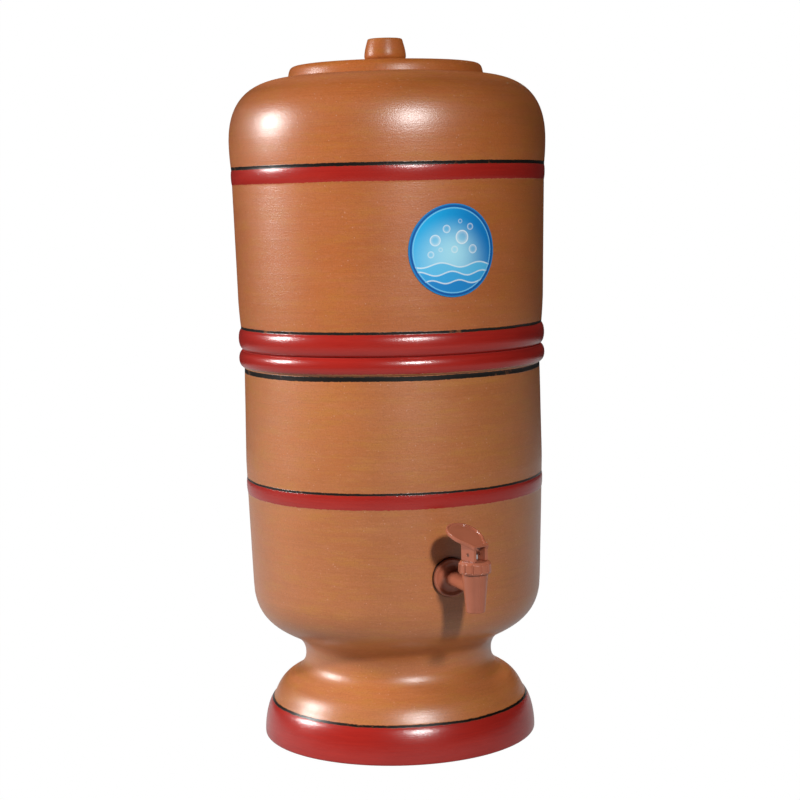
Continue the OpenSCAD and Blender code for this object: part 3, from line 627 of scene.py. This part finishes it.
def throwing_line(z):
    """How deep the clay is pressed in at a height, all the way around, by the thrower's fingers."""
    coarse = noise.noise(Vector((3.1, 7.7, z * 330)))
    fine = noise.noise(Vector((1.7, 2.3, z * 900)))
    return THROWING_LINES * (1 + (coarse + 0.5 * fine) * 0.66)


def dent(c, d, z, uneven):
    """How deep the clay is pressed in at a height, in the direction (c, d) from the axis."""
    broad = noise.noise(Vector((c * 1.3, d * 1.3, z * 7)))
    small = noise.noise(Vector((c * 5, d * 5, z * 45)))
    return uneven * (0.5 + 0.5 * broad) + uneven * SMALL_DENTS * (1 + small)


def hand_thrown(name, nodes, uneven=UNEVEN):
    """A fine lathed copy of a clay piece, a little uneven as thrown clay is, never larger."""
    bm = bmesh.new()
    rows = []
    for r, z in refined(worn(outline_of(nodes))):
        if r < ON_AXIS:
            rows.append([bm.verts.new((0, 0, z))])
            continue
        row = []
        line = throwing_line(z)
        for k in range(SIDES):
            a = 2 * math.pi * k / SIDES
            c, d = math.cos(a), math.sin(a)
            reach = max(r - min(dent(c, d, z, uneven) + line, r * MOST_DENT), 0)
            row.append(bm.verts.new((reach * c, reach * d, z)))
        rows.append(row)
    for low, high in zip(rows, rows[1:]):
        for k in range(SIDES):
            j = (k + 1) % SIDES
            corners = [low[k % len(low)], low[j % len(low)], high[j % len(high)], high[k % len(high)]]
            bm.faces.new(list(dict.fromkeys(corners)))
    bmesh.ops.recalc_face_normals(bm, faces=bm.faces)
    return new_object(name, mesh_from_bmesh(name, bm))


def settle(piece):
    """Applies a piece's modifiers to its mesh."""
    shaped = piece.evaluated_get(bpy.context.evaluated_depsgraph_get())
    mesh = bpy.data.meshes.new_from_object(shaped)
    piece.modifiers.clear()
    old = piece.data
    piece.data = mesh
    bpy.data.meshes.remove(old)


def drill(piece, start, end, radius):
    """Cuts a round hole through a piece, between two points."""
    start, end = Vector(start), Vector(end)
    axis = end - start
    bm = bmesh.new()
    bmesh.ops.create_cone(bm, cap_ends=True, segments=96, radius1=radius, radius2=radius,
                          depth=axis.length)
    tool = new_object("drill", mesh_from_bmesh("drill", bm))
    along = axis.to_track_quat("Z", "Y").to_matrix().to_4x4()
    tool.matrix_world = Matrix.Translation((start + end) / 2) @ along
    cut = piece.modifiers.new("cut", "BOOLEAN")
    cut.operation = "DIFFERENCE"
    cut.solver = "EXACT"
    cut.object = tool
    bpy.context.view_layer.update()
    settle(piece)
    bpy.data.objects.remove(tool)


def stand_for(piece, nodes, body, smooth_under=SMOOTH_UNDER):
    """Dresses a piece and puts it in the place of CAD nodes, which it hides, on their body."""
    dress(piece, FINISHES[nodes[0]], smooth_under)
    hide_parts(*nodes)
    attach(piece, body)


SEAT_PLAY = 0.9 * MM      # between a tap washer and the edge of its seat in the clay
SHANK_HOLE_R = 8.5 * MM
DRILL_REACH = 20 * MM     # how far the drill goes into the air past a seat

washer_low, washer_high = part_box("tap_outer_washer")
tap_height = (washer_low[2] + washer_high[2]) / 2
seat_r = (washer_high[0] - washer_low[0]) / 2 + SEAT_PLAY
wall_out, wall_in = washer_high[1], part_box("tap_inner_washer")[0][1]

lower = hand_thrown("lower_vessel_thrown", LOWER)
for start, end, radius in ((wall_out, wall_out - DRILL_REACH, seat_r),
                           (wall_in + DRILL_REACH, wall_in, seat_r),
                           (wall_in + DRILL_REACH, wall_out - DRILL_REACH, SHANK_HOLE_R)):
    drill(lower, (0, start, tap_height), (0, end, tap_height), radius)
stand_for(lower, LOWER, "pot")
upper = hand_thrown("upper_vessel_thrown", UPPER)
stand_for(upper, UPPER, "top")
lid = hand_thrown("lid_thrown", ["lid"], LID_UNEVEN)
stand_for(lid, ["lid"], "lid")

# ---- moulded tap pieces -------------------------------------------------------------------------

MOULD_ROUNDS, MOULD_FACTOR = 9, 0.5    # how much the edges are softened
MOULD_SMOOTH_UNDER = 60


def moulded(node, voxel):
    """A copy of a moulded node with the soft edges and fillets of a moulding."""
    piece = NODES[node].copy()
    piece.data = NODES[node].data.copy()
    piece.name = piece.data.name = node + "_moulded"
    piece.parent = None
    for key in list(piece.keys()):
        del piece[key]
    bpy.context.scene.collection.objects.link(piece)
    remesh = piece.modifiers.new("remesh", "REMESH")
    remesh.mode = "VOXEL"
    remesh.voxel_size = voxel
    smooth = piece.modifiers.new("smooth", "SMOOTH")
    smooth.iterations = MOULD_ROUNDS
    smooth.factor = MOULD_FACTOR
    settle(piece)
    return piece


for node, body, voxel in (("tap_body", "pot", 0.32 * MM), ("tap_collar", "pot", 0.25 * MM),
                          ("tap_lever", "lever", 0.25 * MM)):
    stand_for(moulded(node, voxel), [node], body, MOULD_SMOOTH_UNDER)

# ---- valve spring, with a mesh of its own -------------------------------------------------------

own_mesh(NODES["tap_spring"])

# ---- floor, backdrop and light ------------------------------------------------------------------

FLOOR_SIDES = 96
FLOOR_R, FLOOR_GREY, FLOOR_GLOW = 0.7, (0.15, 0.15, 0.15), 0.28
FAR_FLOOR_R, FAR_FLOOR_GLOW = 1.6, 0.4
ROOM_R, ROOM_GLOW = 9, 1.0
WORLD_STRENGTH = 0.015

AIM_HEIGHT = 0.28       # where the lights point on the pot's axis
KEY_TURN = 19           # degrees to the right of the camera, as all turns of lights
FLAG_DISTANCE = 1.17    # from the pot's axis, on the key light's way
FLAG_EDGE = 0.028       # its left edge, to the right of that way
FLAG_WIDTH = 1.2
FLAG_LOW, FLAG_HIGH = 0.3, 1.7
FLAG_GREY = (0.01, 0.01, 0.01)


def stage_piece(name, mesh, colour, glow, unseen_by):
    """A piece of the studio with its own material, which some kinds of light ray don't meet."""
    s = Shader(name)
    s.set(Base_Color=colour, Roughness=0.8, Specular_IOR_Level=0.2, Emission_Color=WHITE,
          Emission_Strength=glow)
    mesh.materials.append(s.material)
    piece = new_object(name, mesh)
    for ray in unseen_by:
        setattr(piece, "visible_" + ray, False)


def make_stage():
    """A round pale floor, a ring around it that only gloss shows, and a white room without light."""
    angles = [2 * math.pi * k / FLOOR_SIDES for k in range(FLOOR_SIDES)]
    rim, far_rim = [[(r * math.cos(a), r * math.sin(a), 0) for a in angles]
                    for r in (FLOOR_R, FAR_FLOOR_R)]
    ring = [(k, (k + 1) % FLOOR_SIDES, FLOOR_SIDES + (k + 1) % FLOOR_SIDES, FLOOR_SIDES + k)
            for k in range(FLOOR_SIDES)]
    stage_piece("studio_floor", mesh_from_faces("studio_floor", rim, [tuple(range(FLOOR_SIDES))]),
                FLOOR_GREY, FLOOR_GLOW, ("camera",))
    stage_piece("studio_floor_far", mesh_from_faces("studio_floor_far", rim + far_rim, ring),
                BLACK, FAR_FLOOR_GLOW, ("camera", "diffuse", "transmission", "volume_scatter", "shadow"))
    bm = bmesh.new()
    bmesh.ops.create_icosphere(bm, subdivisions=4, radius=ROOM_R)
    stage_piece("studio_room", mesh_from_bmesh("studio_room", bm), BLACK, ROOM_GLOW,
                ("diffuse", "glossy", "transmission", "volume_scatter", "shadow"))


def make_flag():
    """A tall card before the key light, whose soft shadow deepens towards the pot's right side."""
    around = CAMERA_TURN + math.radians(KEY_TURN)
    out = Vector((math.sin(around), -math.cos(around), 0))
    right = Vector((math.cos(around), math.sin(around), 0))
    near, far = FLAG_EDGE, FLAG_EDGE + FLAG_WIDTH
    corners = [tuple(out * FLAG_DISTANCE + right * u + Vector((0, 0, z)))
               for u, z in ((near, FLAG_LOW), (far, FLAG_LOW), (far, FLAG_HIGH), (near, FLAG_HIGH))]
    stage_piece("studio_flag", mesh_from_faces("studio_flag", corners, [(0, 1, 2, 3)]), FLAG_GREY, 0.0,
                ("camera", "diffuse", "glossy", "transmission", "volume_scatter"))


def soft_light(name, turn, height, distance, size, power, glossy=True):
    """An area light that points at the pot; turn and height are angles, in degrees."""
    around = CAMERA_TURN + math.radians(turn)
    flat = distance * math.cos(math.radians(height))
    spot = Vector((flat * math.sin(around), -flat * math.cos(around),
                   AIM_HEIGHT + distance * math.sin(math.radians(height))))
    data = bpy.data.lights.new(name, "AREA")
    data.shape = "RECTANGLE"
    data.size, data.size_y = size
    data.energy = power
    lamp = new_object(name, data)
    lamp.visible_glossy = glossy
    towards = (Vector((0, 0, AIM_HEIGHT)) - spot).to_track_quat("-Z", "Y").to_matrix().to_4x4()
    lamp.matrix_world = Matrix.Translation(spot) @ towards


def make_world():
    world = bpy.data.worlds.new("studio")
    world.use_nodes = True
    background = world.node_tree.nodes["Background"]
    background.inputs["Color"].default_value = (*WHITE, 1)
    background.inputs["Strength"].default_value = WORLD_STRENGTH
    bpy.context.scene.world = world


make_stage()
make_flag()
soft_light("key", turn=KEY_TURN, height=26, distance=2.2, size=(0.2, 0.2), power=51)
soft_light("left", turn=-91, height=19, distance=2.2, size=(0.36, 0.42), power=42)
soft_light("left_fill", turn=-91, height=19, distance=2.2, size=(0.36, 0.42), power=11, glossy=False)
soft_light("back", turn=155, height=30, distance=2.4, size=(0.6, 0.6), power=40, glossy=False)
make_world()
bpy.context.scene.view_settings.view_transform = "Standard"
